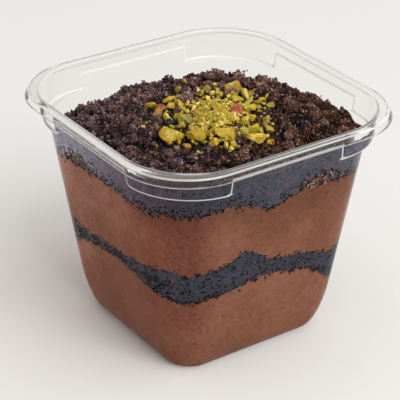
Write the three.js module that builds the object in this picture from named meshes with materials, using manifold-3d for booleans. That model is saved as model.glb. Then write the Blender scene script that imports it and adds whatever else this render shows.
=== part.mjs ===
// A layered chocolate mousse dessert in a clear square cup: mousse, a band of crumbs, mousse, and a heap of
// crumbs strewn with chopped pistachios. Millimetres, +Z up, origin at the middle of the cup's underside.
import * as THREE from "three";
import { ConvexGeometry } from "three/addons/geometries/ConvexGeometry.js";
import { mergeVertices } from "three/addons/utils/BufferGeometryUtils.js";
import Module from "manifold-3d";

const wasm = await Module();
wasm.setup();

// The cup: outlines are squares with round corners, given by half their width and their corner radius.
const CUP_HEIGHT = 85.3;
const WALL = 0.6;
const RIM_OUTER = { half: 50.5, radius: 24.05 };
const RIM_INNER = { half: 47.5, radius: 24.4 };
const RIM_ROUNDING = 0.4;
const SKIRT_HEIGHT = 3;
const SKIRT_FLARE = 0.8;
const COLLAR_TAPER = 0.09; // inwards for each millimetre down
const SHELF_DROP = 0.5; // height of the small step from the collar in to the body
const SIDE_SHELF_Z = 81; // where the collar ends along the sides
const LUG_SHELF_Z = 75.5; // where it ends in the stacking lugs round the corners
const BODY_TOP = { z: 80.9, half: 47.3, radius: 27.9 };
const BODY_FOOT = { z: 0, half: 32.9, radius: 12.1 }; // before the foot is rounded
const FOOT_HEIGHT = 18;
const FOOT_INSET = 4.9;

// The fillings keep this much off the wall and off each other.
const GAP = 0.3;

// Heights round the wall of the three joints between layers and of the heap's edge: a level, and swells on it as
// [degrees anticlockwise from +X, height, half width in degrees].
const BAND_BOTTOM = {
  level: 34.5,
  swells: [[60, 2, 25], [100, -2, 18], [140, -5, 13], [188, 2.6, 20], [226, -3.4, 11], [247, -1.1, 7],
    [262, 0.8, 10], [284, -1.4, 7], [310, -12, 15]],
};
const BAND_TOP = {
  level: 40.5,
  swells: [[20, -2, 25], [75, 2.5, 22], [115, -1.5, 15], [160, -1.8, 10], [222, 4, 20], [228, -1.8, 5],
    [245, -1.3, 3], [252, 7.6, 12], [306, -5.5, 16]],
};
const MOUSSE_TOP = {
  level: 67.3,
  swells: [[45, -2.5, 25], [120, -2.8, 22], [143, -3, 9], [190, 1, 20], [215, -1, 3], [228, -0.6, 5],
    [243, 2.2, 7], [265, -3.2, 8], [262, -1, 3], [283, 0.4, 8], [312, -2.3, 12]],
};
const HEAP_EDGE = {
  level: 71,
  swells: [[48, -2.5, 18], [92, 0.7, 10], [115, -2.3, 18], [180, -0.5, 20], [270, 2, 25], [325, 1.5, 12],
    [350, 3.3, 28]],
};

// The heap of crumbs: a flat mound whose clumps are waves of chance on it.
const HEAP_CROWN_Z = 76;
const HEAP_SHOULDER = 2.8; // how late the mound falls off towards the wall
const HEAP_CELL = 2.4;
const CLUMPS = [{ size: 5.5, height: 2 }, { size: 2.8, height: 1.6 }];

// The larger pistachio pieces: place, then length, width, height, and the turn of the length in degrees.
const PISTACHIO_SUNK = 0.3; // share of its height that a piece lies in the crumbs
const PISTACHIOS = [
  [-17, -3, 10.5, 4.6, 3.6, 12], [-11, -9, 7.5, 5.5, 4.2, -60], [-10, 9, 5, 4.6, 4.4, 20],
  [-7, 3, 5, 4.8, 4.2, 50], [-1, 3, 5, 4.2, 4, -20], [-3, 12, 8.2, 3.4, 3, -88], [-4, 19, 5.5, 3.4, 2.8, -20],
  [1, 18, 5.5, 3.4, 2.8, -35], [-10, 20, 5, 3, 2, -30], [-13, 11, 7, 3.2, 2.6, -108],
  [-8, 15, 3.4, 3, 2.6, 0], [-5, 14, 3.4, 2.2, 2.4, -100], [22, 14, 7, 6, 4.8, -34],
  [21, 7, 6.2, 3.6, 3, -94], [17, 6, 5.5, 3, 2, -34], [10, 8, 5, 3.8, 3.4, -100], [12, 7, 3.4, 3, 2.4, 10],
  [11, -2, 6.5, 4.5, 4, -80], [14, 19, 4, 3.4, 3, 20], [10, 17, 2.6, 2.4, 2.2, 0], [5, 9, 3.4, 2.8, 2.2, -30],
  [5, 13, 2.6, 2.4, 2, 0], [16, -2, 5, 3.2, 2.6, -34], [25, 0, 4.4, 3.2, 2.6, -60], [24, -5, 3, 2.6, 2.2, 0],
  [13, -8, 3.6, 2.8, 2.4, -80], [3, -16, 4.6, 4.2, 3.2, -70], [8, -16, 5, 3.8, 3.2, -10],
  [11, -21, 5.6, 4, 3.2, -60], [4, -22, 6.8, 3.6, 3.2, -20], [6, -6, 5, 4.6, 4, 30],
  [-2, -11, 7, 5.4, 4.2, -30], [-5, -21, 5.5, 3, 3, -100], [-9, -18, 7.5, 3.4, 3.2, -112],
  [-6, -9, 3.6, 3.2, 3, 0],
];
const CRUMBLED = { count: 40, middle: [5, 2], spread: 20, smallest: 1.6, largest: 2.8 };

const COLOURS = { clear: 0xe6e9ea, mousse: 0x7c4c3b, crumb: 0x33231d };

const rad = THREE.MathUtils.degToRad;
const mix = THREE.MathUtils.lerp;

// Repeatable chance, from 0 to 1 (mulberry32).
function chance(seed) {
  let state = seed;
  return () => {
    state = (state + 0x6d2b79f5) | 0;
    let t = Math.imul(state ^ (state >>> 15), 1 | state);
    t = (t + Math.imul(t ^ (t >>> 7), 61 | t)) ^ t;
    return ((t ^ (t >>> 14)) >>> 0) / 4294967296;
  };
}

// Places round an outline: on each side a few along its straight stretch, as shares of half its length, and then a
// few round the corner after it, in degrees.
function placesRound(straights, angles) {
  return [0, 1, 2, 3].flatMap((side) => [
    ...straights.map((along) => ({ side, along })),
    ...angles.map((angle) => ({ side, angle })),
  ]);
}
const CUP_PLACES = placesRound([-0.97, -0.91, 0.91, 0.97], [0, 4, 7.5, 18, 31, 45, 59, 72, 82.5, 86, 90]);
const FOOD_PLACES = placesRound([-0.8, -0.6, -0.4, -0.2, 0, 0.2, 0.4, 0.6, 0.8], [0, 15, 30, 45, 60, 75, 90]);

// The lugs cover one pair of opposite corners further than the other pair.
function isInLug({ side, along, angle }) {
  const corner = along < 0 ? side + 3 : side;
  const isWide = corner % 2 === 1;
  if (angle === undefined) return isWide && Math.abs(along) > 0.95;
  return isWide || Math.abs(angle - 45) < 40;
}

function pointAt(place, { half, radius }) {
  const middle = half - radius;
  const local = place.angle === undefined
    ? [half, place.along * middle]
    : [middle + radius * Math.cos(rad(place.angle)), middle + radius * Math.sin(rad(place.angle))];
  const [c, s] = [[1, 0], [0, 1], [-1, 0], [0, -1]][place.side];
  return [c * local[0] - s * local[1], s * local[0] + c * local[1]];
}

// The body's outline at a height, a horizontal distance in from its outer face.
function bodyOutline(z, inset) {
  const share = z / BODY_TOP.z;
  const below = Math.min(1, Math.max(0, (FOOT_HEIGHT - z) / (FOOT_HEIGHT - inset)));
  const drawnIn = inset + FOOT_INSET * (1 - Math.sqrt(1 - below * below));
  return {
    half: mix(BODY_FOOT.half, BODY_TOP.half, share) - drawnIn,
    radius: mix(BODY_FOOT.radius, BODY_TOP.radius, share) - drawnIn,
  };
}

// A closed skin over rings of points, each ring with one point for each place; the ends are closed by a fan. Each
// patch is split along its shorter diagonal, so that two skins over the same joint stay apart.
function skin(rings) {
  const count = rings[0].length;
  const points = [];
  const faces = [];
  const middleOf = (ring) => [0, 1, 2].map((axis) => ring.reduce((sum, p) => sum + p[axis], 0) / count);
  points.push(...middleOf(rings[0]));
  rings.forEach((ring) => ring.forEach((p) => points.push(...p)));
  points.push(...middleOf(rings.at(-1)));
  const last = rings.length * count + 1;
  const apart = (p, q) => Math.hypot(...[0, 1, 2].map((axis) => points[3 * p + axis] - points[3 * q + axis]));
  for (let i = 0; i < count; i++) {
    const next = (i + 1) % count;
    faces.push(0, 1 + next, 1 + i);
    for (let r = 0; r + 1 < rings.length; r++) {
      const [a, b] = [1 + r * count + i, 1 + r * count + next];
      const [c, d] = [b + count, a + count];
      faces.push(...(apart(a, c) < apart(b, d) ? [a, b, c, a, c, d] : [a, b, d, b, c, d]));
    }
    faces.push(last, last - count + i, last - count + next);
  }
  const geometry = new THREE.BufferGeometry();
  geometry.setAttribute("position", new THREE.Float32BufferAttribute(points, 3));
  geometry.setIndex(faces);
  return geometry;
}

const ringAt = (places, z, outline) => places.map((place) => [...pointAt(place, outline), z]);

// Rings of the body's rounded foot, from its flat underside up.
function footRings(places, inset, steps = 6) {
  return Array.from({ length: steps + 1 }, (_, k) => {
    const z = FOOT_HEIGHT - (FOOT_HEIGHT - inset) * Math.cos((k / steps) * (Math.PI / 2));
    return ringAt(places, z, bodyOutline(z, inset));
  });
}

// The cup is one thin wall: outer skin up to the shelf, collar, rolled flange with a short skirt, and back down
// the inside. The shelf lies lower in the lugs, which bulge out under the corners of the rim.
function cupGeometry() {
  const shelf = (place) => (isInLug(place) ? LUG_SHELF_Z : SIDE_SHELF_Z);
  const collar = (z, outset) => {
    const inwards = COLLAR_TAPER * (CUP_HEIGHT - z) - outset;
    return { half: RIM_INNER.half - inwards, radius: RIM_INNER.radius - inwards };
  };
  const grown = (outline, by) => ({ half: outline.half + by, radius: outline.radius + by });
  const ring = (z, outline) => ringAt(CUP_PLACES, z, outline);
  const shelfRing = (drop, outlineAt) => CUP_PLACES.map((place) => {
    const z = shelf(place) - drop;
    return [...pointAt(place, outlineAt(z)), z];
  });
  const top = CUP_HEIGHT;
  const underside = top - WALL;
  const skirtFoot = top - SKIRT_HEIGHT;
  return skin([
    ...footRings(CUP_PLACES, 0),
    shelfRing(WALL + SHELF_DROP, (z) => bodyOutline(z, 0)),
    shelfRing(WALL, (z) => collar(z, WALL)),
    ring(underside - RIM_ROUNDING, collar(underside, WALL)),
    ring(underside, grown(RIM_INNER, WALL + RIM_ROUNDING)),
    ring(underside, grown(RIM_OUTER, -WALL - RIM_ROUNDING)),
    ring(underside - RIM_ROUNDING, grown(RIM_OUTER, -WALL)),
    ring(skirtFoot, grown(RIM_OUTER, SKIRT_FLARE - WALL)),
    ring(skirtFoot, grown(RIM_OUTER, SKIRT_FLARE)),
    ring(top - RIM_ROUNDING, grown(RIM_OUTER, 0.1)),
    ring(top, grown(RIM_OUTER, -RIM_ROUNDING)),
    ring(top, grown(RIM_INNER, RIM_ROUNDING)),
    ring(top - RIM_ROUNDING, RIM_INNER),
    shelfRing(0, (z) => collar(z, 0)),
    shelfRing(SHELF_DROP, (z) => bodyOutline(z, WALL)),
    ...footRings(CUP_PLACES, WALL).reverse(),
  ]);
}

function heightRound({ level, swells }, degrees) {
  return swells.reduce((height, [at, rise, width]) => {
    const away = ((degrees - at + 540) % 360) - 180;
    return height + rise * Math.exp(-((away / width) ** 2));
  }, level);
}

const degreesOf = ([x, y]) => THREE.MathUtils.euclideanModulo(THREE.MathUtils.radToDeg(Math.atan2(y, x)), 360);

// Rings of the joint between two layers from the middle out to the wall: level in the middle, wavy at the wall.
const FILLING = WALL + GAP;
function jointRings(joint, lift, steps = 3) {
  return Array.from({ length: steps }, (_, k) => {
    const out = (k + 1) / steps;
    return FOOD_PLACES.map((place) => {
      const degrees = degreesOf(pointAt(place, bodyOutline(joint.level, FILLING)));
      const z = mix(joint.level, heightRound(joint, degrees), out * out) + lift;
      const [x, y] = pointAt(place, bodyOutline(z, FILLING));
      return [x * out, y * out, z];
    });
  });
}

const lowerMousse = () => skin([...footRings(FOOD_PLACES, FILLING), ...jointRings(BAND_BOTTOM, -GAP / 2).reverse()]);

const layer = (bottom, top) => skin([...jointRings(bottom, GAP / 2), ...jointRings(top, -GAP / 2).reverse()]);

// The space that the heap may fill: from the upper mousse to above the heap, out to the wall.
function heapSpace() {
  const lid = SIDE_SHELF_Z - SHELF_DROP;
  return skin([...jointRings(MOUSSE_TOP, GAP / 2), ringAt(FOOD_PLACES, lid, bodyOutline(lid, FILLING))]);
}

// A smooth wave of chance over the plane, from -1 to 1, that changes over about one size.
function clumpWave(size, seed) {
  const random = chance(seed);
  const cells = Math.ceil((4 * RIM_OUTER.half) / size);
  const grid = Array.from({ length: cells * cells }, () => random() * 2 - 1);
  const at = (i, j) => grid[(i % cells) * cells + (j % cells)];
  return (x, y) => {
    const [u, v] = [x / size + cells / 2, y / size + cells / 2];
    const [i, j] = [Math.floor(u), Math.floor(v)];
    const [p, q] = [THREE.MathUtils.smoothstep(u - i, 0, 1), THREE.MathUtils.smoothstep(v - j, 0, 1)];
    return mix(mix(at(i, j), at(i + 1, j), p), mix(at(i, j + 1), at(i + 1, j + 1), p), q);
  };
}

// How far out the inner wall lies in a direction.
function reach(degrees, { half, radius }) {
  const turned = rad(((degrees + 45) % 90) - 45);
  const [c, s] = [Math.cos(turned), Math.abs(Math.sin(turned))];
  const middle = half - radius;
  if (half * s <= middle * c) return half / c;
  const along = middle * (c + s);
  return along + Math.sqrt(along * along - 2 * middle * middle + radius * radius);
}

const waves = CLUMPS.map(({ size, height }, k) => ({ height, wave: clumpWave(size, 11 + k) }));

function moundZ(x, y) {
  const degrees = degreesOf([x, y]);
  const out = Math.min(1.1, Math.hypot(x, y) / reach(degrees, bodyOutline(HEAP_EDGE.level, FILLING)));
  return mix(HEAP_CROWN_Z, heightRound(HEAP_EDGE, degrees), out ** HEAP_SHOULDER);
}

const heapZ = (x, y) => waves.reduce((z, { height, wave }) => z + (height / 2) * wave(x, y), moundZ(x, y));

// A block whose top is the heap's lumpy surface, larger than the cup each way.
function heapBlock() {
  const side = Math.ceil((2 * RIM_OUTER.half) / HEAP_CELL);
  const block = new THREE.BoxGeometry(side * HEAP_CELL, side * HEAP_CELL, 1, side, side, 1);
  const points = block.getAttribute("position");
  for (let i = 0; i < points.count; i++) {
    const [x, y] = [points.getX(i), points.getY(i)];
    points.setZ(i, points.getZ(i) > 0 ? heapZ(x, y) : BAND_TOP.level);
  }
  return block;
}

function solidOf(geometry) {
  const bare = geometry.clone();
  bare.deleteAttribute("normal");
  bare.deleteAttribute("uv");
  const merged = mergeVertices(bare, 1e-4);
  const vertProperties = new Float32Array(merged.getAttribute("position").array);
  const triVerts = new Uint32Array(merged.getIndex().array);
  return new wasm.Manifold(new wasm.Mesh({ numProp: 3, vertProperties, triVerts }));
}

function geometryOf(solid) {
  const { vertProperties, triVerts } = solid.getMesh();
  const geometry = new THREE.BufferGeometry();
  geometry.setAttribute("position", new THREE.BufferAttribute(vertProperties, 3));
  geometry.setIndex(new THREE.BufferAttribute(triVerts, 1));
  return geometry;
}

// A chopped piece: the hull of a box's corners pulled in by chance and one more point over each face.
function choppedPiece(length, width, height, random) {
  const points = [];
  const pull = () => 0.72 + 0.28 * random();
  for (const x of [-1, 1]) {
    for (const y of [-1, 1]) {
      for (const z of [-1, 1]) points.push([x * pull(), y * pull(), z * pull()]);
    }
  }
  for (const end of [-1, 1]) {
    points.push([end, 0.4 * (random() - 0.5), 0.4 * (random() - 0.5)]);
    points.push([0.6 * (random() - 0.5), 0.4 * (random() - 0.5), end]);
  }
  return new ConvexGeometry(
    points.map(([x, y, z]) => new THREE.Vector3((x * length) / 2, (y * width) / 2, (z * height) / 2)),
  );
}

function laidPiece([x, y, length, width, height, turn], random) {
  const tilt = new THREE.Euler(0.35 * (random() - 0.5), 0.35 * (random() - 0.5), rad(turn));
  const centre = new THREE.Vector3(x, y, heapZ(x, y) + height * (0.5 - PISTACHIO_SUNK));
  const place = new THREE.Matrix4().makeRotationFromEuler(tilt).setPosition(centre);
  return choppedPiece(length, width, height, random).applyMatrix4(place);
}

function crumbledPieces(random) {
  return Array.from({ length: CRUMBLED.count }, () => {
    const away = CRUMBLED.spread * Math.sqrt(random());
    const turn = 360 * random();
    const size = mix(CRUMBLED.smallest, CRUMBLED.largest, random());
    const [x, y] = [away * Math.cos(rad(turn)), away * Math.sin(rad(turn))];
    return [CRUMBLED.middle[0] + x, CRUMBLED.middle[1] + y, size, 0.85 * size, 0.75 * size, turn];
  });
}

function crumbHeap() {
  const random = chance(5);
  const core = solidOf(heapSpace()).intersect(solidOf(heapBlock()));
  const pieces = [...PISTACHIOS, ...crumbledPieces(random)].map((piece) => solidOf(laidPiece(piece, random)));
  return geometryOf(pieces.reduce((heap, piece) => heap.add(piece), core));
}

const cupMaterial = new THREE.MeshStandardMaterial({
  color: COLOURS.clear, roughness: 0.08, metalness: 0, transparent: true, opacity: 0.3,
});
const mousseMaterial = new THREE.MeshStandardMaterial({ color: COLOURS.mousse, roughness: 0.6, metalness: 0 });
const crumbMaterial = new THREE.MeshStandardMaterial({ color: COLOURS.crumb, roughness: 0.9, metalness: 0 });

const dessert = new THREE.Group();
const parts = [
  ["cup", cupGeometry(), cupMaterial],
  ["mousse_lower", lowerMousse(), mousseMaterial],
  ["crumb_layer", layer(BAND_BOTTOM, BAND_TOP), crumbMaterial],
  ["mousse_upper", layer(BAND_TOP, MOUSSE_TOP), mousseMaterial],
  ["crumb_top", crumbHeap(), crumbMaterial],
];
for (const [name, geometry, material] of parts) {
  const mesh = new THREE.Mesh(geometry, material);
  mesh.name = name;
  dessert.add(mesh);
}

export default dessert;
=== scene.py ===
import math

import bmesh
import bpy
import numpy as np
from mathutils import Euler, Matrix, Vector, noise


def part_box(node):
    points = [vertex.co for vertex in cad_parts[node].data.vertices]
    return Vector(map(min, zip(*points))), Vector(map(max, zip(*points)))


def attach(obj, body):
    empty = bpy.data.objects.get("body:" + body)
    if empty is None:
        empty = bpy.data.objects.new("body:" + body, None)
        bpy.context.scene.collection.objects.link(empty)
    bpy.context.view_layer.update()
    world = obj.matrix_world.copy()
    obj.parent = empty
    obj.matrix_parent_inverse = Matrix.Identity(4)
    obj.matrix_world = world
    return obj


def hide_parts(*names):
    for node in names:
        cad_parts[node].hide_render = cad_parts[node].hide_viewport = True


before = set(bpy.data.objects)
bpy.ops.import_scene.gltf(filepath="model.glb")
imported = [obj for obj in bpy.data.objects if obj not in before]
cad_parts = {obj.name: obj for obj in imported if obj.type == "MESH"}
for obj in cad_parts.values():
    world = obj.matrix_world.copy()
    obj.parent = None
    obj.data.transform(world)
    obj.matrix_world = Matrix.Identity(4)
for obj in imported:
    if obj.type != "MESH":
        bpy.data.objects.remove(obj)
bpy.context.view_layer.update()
bpy.ops.object.select_all(action="DESELECT")


# --- The clear cup ---
# One thin wall of clear PET, formed over a mould into a square tub with round corners. Its rim is folded out
# flat and down into a short skirt, and under each corner the wall steps out into a shallow lug, on which the
# next cup in a stack rests. Sizes are millimetres; an outline is (half its width, its corner radius).
MM = 0.001
CUP_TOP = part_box("cup")[1].z / MM
WALL = 0.6
RIM_INNER = np.array([47.5, 24.4])
RIM_OUTER = np.array([50.5, 24.05])
INNER_EDGE_ROUND = 0.5
OUTER_EDGE_ROUND = 1.0
SKIRT_HEIGHT = 3.0
SKIRT_FLARE = 0.8
COLLAR_TAPER = 0.09
SHELF_DROP = 0.5
SIDE_SHELF_Z = 81.0
LUG_DEPTH = 5.5
LUG_END_ROUND = 1.8
LUG_REACH = 41.5  # degrees each way from the middle of the narrow pair's corners
WIDE_LUG_PAST = 1.3  # how far the wide pair's lugs run on along the sides
BODY_FOOT = np.array([32.9, 12.1])
BODY_TOP = np.array([47.3, 27.9])
BODY_TOP_Z = 80.9
FOOT_HEIGHT = 18.0
FOOT_INSET = 4.9
FOOT_RINGS = 12
# How hazy the sheet is, and its index of refraction: the flange is a little dull, the bends are whitish with
# a painted glow that stands in for the bright room refracted in the curved plastic, partly real whitening
# where it was stretched, and the wall that the food wets hardly shines.
FINISHES = {"wall": (0, 1.06), "end": (0, 1.1), "collar": (0, 1.28), "skirt": (0, 1.22),
            "flange": (0.08, 1.42), "foot": (0.04, 1.45), "bend": (0.42, 1.5), "step": (0.5, 1.5)}
STEEP = 0.6  # how much of a face's own height counts as steep
CUP_SIDE_SHARES = [0, 0.25, 0.5, 0.75, 0.86, 0.9, *np.linspace(0.912, 1, 12)]
CUP_TURNS = [0, 1, *np.linspace(1.7, 6.5, 11), 7.5, 9.5, 12.5, *range(16, 45, 4)]


def places_round(shares, turns):
    """Places round a square outline with round corners, anticlockwise, as rows of side, share of half the
    straight stretch, and turn round the corner after it. Shares and turns are given for half of each."""
    straight = [-s for s in shares[::-1]] + [s for s in shares if s > 0]
    corner = [t for t in turns if t > 0]
    corner = corner + [45] + [90 - t for t in corner[::-1]]
    rows = []
    for side in range(4):
        rows += [(side, share, 0) for share in straight]
        rows += [(side, 1, math.radians(turn)) for turn in corner]
    return np.array(rows)


def outline_points(places, outline, z):
    """Points of an outline at a height; either may differ from place to place."""
    half, radius = outline[..., 0], outline[..., 1]
    middle = half - radius
    x = middle + radius * np.cos(places[:, 2])
    y = places[:, 1] * middle + radius * np.sin(places[:, 2])
    turn = places[:, 0] * math.pi / 2
    across = np.cos(turn) * x - np.sin(turn) * y
    along = np.sin(turn) * x + np.cos(turn) * y
    return np.stack([across, along, np.broadcast_to(z, across.shape)], axis=1)


def body_outline(z, inset):
    """The body's outline at a height, a distance in from its outer face, drawn in at the rounded foot."""
    z = np.asarray(z, float)[..., None]
    share = z / BODY_TOP_Z
    below = np.clip((FOOT_HEIGHT - z) / (FOOT_HEIGHT - inset), 0, 1)
    drawn_in = inset + FOOT_INSET * (1 - np.sqrt(1 - below**2))
    return BODY_FOOT + (BODY_TOP - BODY_FOOT) * share - drawn_in


def bearing(point):
    """Order round the middle, starting just after +X, where no ring has a corner."""
    return (math.atan2(point[1], point[0]) - 0.01) % (2 * math.pi)


def lay_ring(piece, points):
    """Moves the selected corners onto the points of a ring."""
    shape = bmesh.from_edit_mesh(piece.data)
    corners = sorted((v for v in shape.verts if v.select), key=lambda v: bearing(v.co))
    for corner, point in zip(corners, sorted(points, key=bearing)):
        corner.co = Vector(point) * MM
    bmesh.update_edit_mesh(piece.data)


def fix_order(shape, count):
    """Corners in order round each ring of so many, and edges and faces by their corners. Extruding leaves
    them in an order that changes from run to run."""

    def by_corners(part):
        indices = [corner.index for corner in part.verts]
        return min(indices) * len(shape.verts) + max(indices)

    full_turn = 2 * math.pi
    shape.verts.index_update()
    shape.verts.sort(key=lambda corner: corner.index // count * full_turn + bearing(corner.co))
    shape.verts.index_update()
    shape.edges.sort(key=by_corners)
    shape.faces.sort(key=by_corners)


def model_in_rings(name, rings):
    """A closed piece: a flat face on the first ring, extruded from ring to ring."""
    bpy.ops.mesh.primitive_circle_add(vertices=len(rings[0]), radius=1, fill_type="NGON")
    piece = bpy.context.object
    piece.name = piece.data.name = name
    bpy.ops.object.mode_set(mode="EDIT")
    bpy.ops.mesh.select_mode(type="FACE")
    bpy.ops.mesh.select_all(action="SELECT")
    lay_ring(piece, rings[0])
    for points in rings[1:]:
        bpy.ops.mesh.extrude_region()
        lay_ring(piece, points)
    bpy.ops.mesh.select_all(action="SELECT")
    bpy.ops.mesh.normals_make_consistent(inside=False)
    bpy.ops.mesh.select_all(action="DESELECT")
    fix_order(bmesh.from_edit_mesh(piece.data), len(rings[0]))
    bmesh.update_edit_mesh(piece.data)
    bpy.ops.object.mode_set(mode="OBJECT")
    return piece


def foot_rings(places, inset):
    """Rings of the rounded foot, from the flat underside up."""
    angles = np.linspace(0, math.pi / 2, FOOT_RINGS)
    heights = FOOT_HEIGHT - (FOOT_HEIGHT - inset) * np.cos(angles)
    return [outline_points(places, body_outline(z, inset), z) for z in heights]


def lug_drop(places, outset):
    """How far below the sides' shelf the shelf lies at each place, outset from the wall's inner face: the
    lugs' full depth round the corners, up a rounded end, and none along the sides."""
    side, share, turn = places.T
    corner = np.where(share < 0, side + 3, side) % 4
    is_wide = corner % 2 == 1
    half_stretch, radius = RIM_INNER[0] - RIM_INNER[1], RIM_INNER[1]
    past_straight = (np.abs(share) - 1) * half_stretch + WIDE_LUG_PAST + outset
    past_turn = radius * np.radians(LUG_REACH - np.abs(np.degrees(turn) - 45)) + outset
    on_corner = turn > 0
    inside = np.where(is_wide, np.where(on_corner, LUG_END_ROUND, past_straight),
                      np.where(on_corner, past_turn, -1))
    rounded = LUG_DEPTH - LUG_END_ROUND + np.sqrt(
        np.clip(LUG_END_ROUND**2 - np.clip(LUG_END_ROUND - inside, 0, LUG_END_ROUND) ** 2, 0, None))
    return np.where(inside < 0, 0, np.minimum(rounded, LUG_DEPTH))


def fillet(start, corner, end, steps):
    """Points from start to end on a smooth bend towards the corner between them."""
    start, corner, end = (np.asarray(p, float) for p in (start, corner, end))
    shares = np.linspace(0, 1, steps + 1)[:, None]
    return (1 - shares) ** 2 * start + 2 * shares * (1 - shares) * corner + shares**2 * end


def finished(rings, *finishes):
    """Rings with the finish of the stretch after each; the last finish goes on to the end."""
    return [(ring, finishes[min(k, len(finishes) - 1)]) for k, ring in enumerate(rings)]


def rim_rings(places):
    """Rings of the rim, from the collar's outside over the skirt and the flange to the collar's inside.
    The profile runs in distance out from the flange's inner edge, and in height."""
    width = RIM_OUTER[0] - RIM_INNER[0]
    under = CUP_TOP - WALL
    skirt_foot = CUP_TOP - SKIRT_HEIGHT
    skirt_out = width + SKIRT_FLARE
    bend = 0.45
    profile = [
        *finished(fillet((WALL + 0.04, under - bend), (WALL, under), (WALL + bend, under), 4), "skirt"),
        *finished(fillet((width - WALL - bend, under), (width - WALL, under),
                         (width - WALL, under - bend), 4), "skirt"),
        ((skirt_out - WALL, skirt_foot + 0.25), "foot"),
        *finished(fillet((skirt_out - WALL, skirt_foot + 0.2), (skirt_out - WALL + 0.02, skirt_foot),
                         (skirt_out - WALL / 2, skirt_foot), 3), "foot"),
        *finished(fillet((skirt_out - WALL / 2 + 0.05, skirt_foot), (skirt_out, skirt_foot),
                         (skirt_out, skirt_foot + 0.3), 3), *["foot"] * 3, "skirt"),
        *finished(fillet((width + 0.1, CUP_TOP - OUTER_EDGE_ROUND), (width, CUP_TOP),
                         (width - OUTER_EDGE_ROUND, CUP_TOP), 7), "skirt", *["bend"] * 3, "flange"),
        *finished(fillet((INNER_EDGE_ROUND, CUP_TOP), (0, CUP_TOP), (-0.03, CUP_TOP - INNER_EDGE_ROUND), 5),
                  *["bend"] * 3, "collar"),
    ]
    slant = (RIM_OUTER - RIM_INNER)[1] / width
    return [(outline_points(places, RIM_INNER + np.array([out, out * slant]), z), finish)
            for (out, z), finish in profile]


def shelf_rings(places, outset):
    """Rings of the step in from the collar to the body, outset from the wall's inner face, going up. The
    outer skin bends more widely round the step's edge."""
    shelf_z = SIDE_SHELF_Z - lug_drop(places, outset) - outset
    bend = 0.35 + 0.6 * outset

    def body_at(z):
        return body_outline(z, WALL - outset)

    def collar_at(z):
        return RIM_INNER - COLLAR_TAPER * (CUP_TOP - z)[:, None] + outset

    low_z, high_z = shelf_z - SHELF_DROP - bend, shelf_z + bend
    low, high = body_at(low_z), collar_at(high_z)
    inner, outer = body_at(shelf_z - SHELF_DROP), collar_at(shelf_z)
    step = np.minimum(0.4, 0.35 * np.abs(outer - inner).max(axis=1, keepdims=True) / bend)
    along_in, along_out = inner + (outer - inner) * step, outer - (outer - inner) * step
    rings = []
    for share in (0, 0.33, 0.67, 1):
        ease = share**2
        rings.append((low + (inner - low) * (2 * share - ease) + (along_in - inner) * ease,
                      low_z + bend * (2 * share - ease) + SHELF_DROP * 0.35 * ease))
    for share in (0, 0.33, 0.67, 1):
        ease = share**2
        rings.append((along_out + (outer - along_out) * (2 * share - ease) + (high - outer) * ease,
                      shelf_z - SHELF_DROP * 0.35 * (1 - (2 * share - ease)) + bend * ease))
    return [outline_points(places, outline, z) for outline, z in rings]


cup_places = places_round(CUP_SIDE_SHARES, CUP_TURNS)
cup_rings = [
    *finished(foot_rings(cup_places, 0), "wall"),
    *finished(shelf_rings(cup_places, WALL), *["wall"] * 3, "collar", *["step"] * 3, "collar"),
    *rim_rings(cup_places),
    *finished(shelf_rings(cup_places, 0)[::-1], "collar"),
    *finished(foot_rings(cup_places, WALL)[::-1], "collar"),
]
cup = model_in_rings("clear_cup", [ring for ring, _ in cup_rings])


def shade_by_angle(piece, degrees):
    """Smooth shading, but for edges sharper than an angle."""
    bpy.ops.object.select_all(action="DESELECT")
    piece.select_set(True)
    bpy.context.view_layer.objects.active = piece
    bpy.ops.object.shade_smooth_by_angle(angle=math.radians(degrees))
    piece.select_set(False)


def new_material(name):
    """A material with its node tree and its Principled shader."""
    material = bpy.data.materials.new(name)
    material.use_nodes = True
    return material, material.node_tree, material.node_tree.nodes["Principled BSDF"]


def node(tree, kind, **values):
    """A new node; values are settings, or with a leading in_ what its inputs get, a value or a link."""
    made = tree.nodes.new(kind)
    for key, value in values.items():
        if not key.startswith("in_"):
            setattr(made, key, value)
            continue
        name = key[3:].replace("_", " ")
        socket = made.inputs[int(name) if name.isdigit() else name]
        if isinstance(value, bpy.types.NodeSocket):
            tree.links.new(value, socket)
        else:
            socket.default_value = value
    return made


def own_coords(tree):
    """Places on the piece itself."""
    return node(tree, "ShaderNodeTexCoord").outputs["Object"]


def clouds(tree, coords, scale, detail, roughness=0.5):
    """A cloudy pattern of chance, about 0.5 in the middle."""
    return node(tree, "ShaderNodeTexNoise", in_Vector=coords, in_Scale=scale, in_Detail=detail,
                in_Roughness=roughness).outputs["Fac"]


def set_bumps(tree, shader, height, strength, distance):
    """Fine unevenness of the surface."""
    bump = node(tree, "ShaderNodeBump", in_Strength=strength, in_Distance=distance, in_Height=height)
    tree.links.new(bump.outputs["Normal"], shader.inputs["Normal"])


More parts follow.
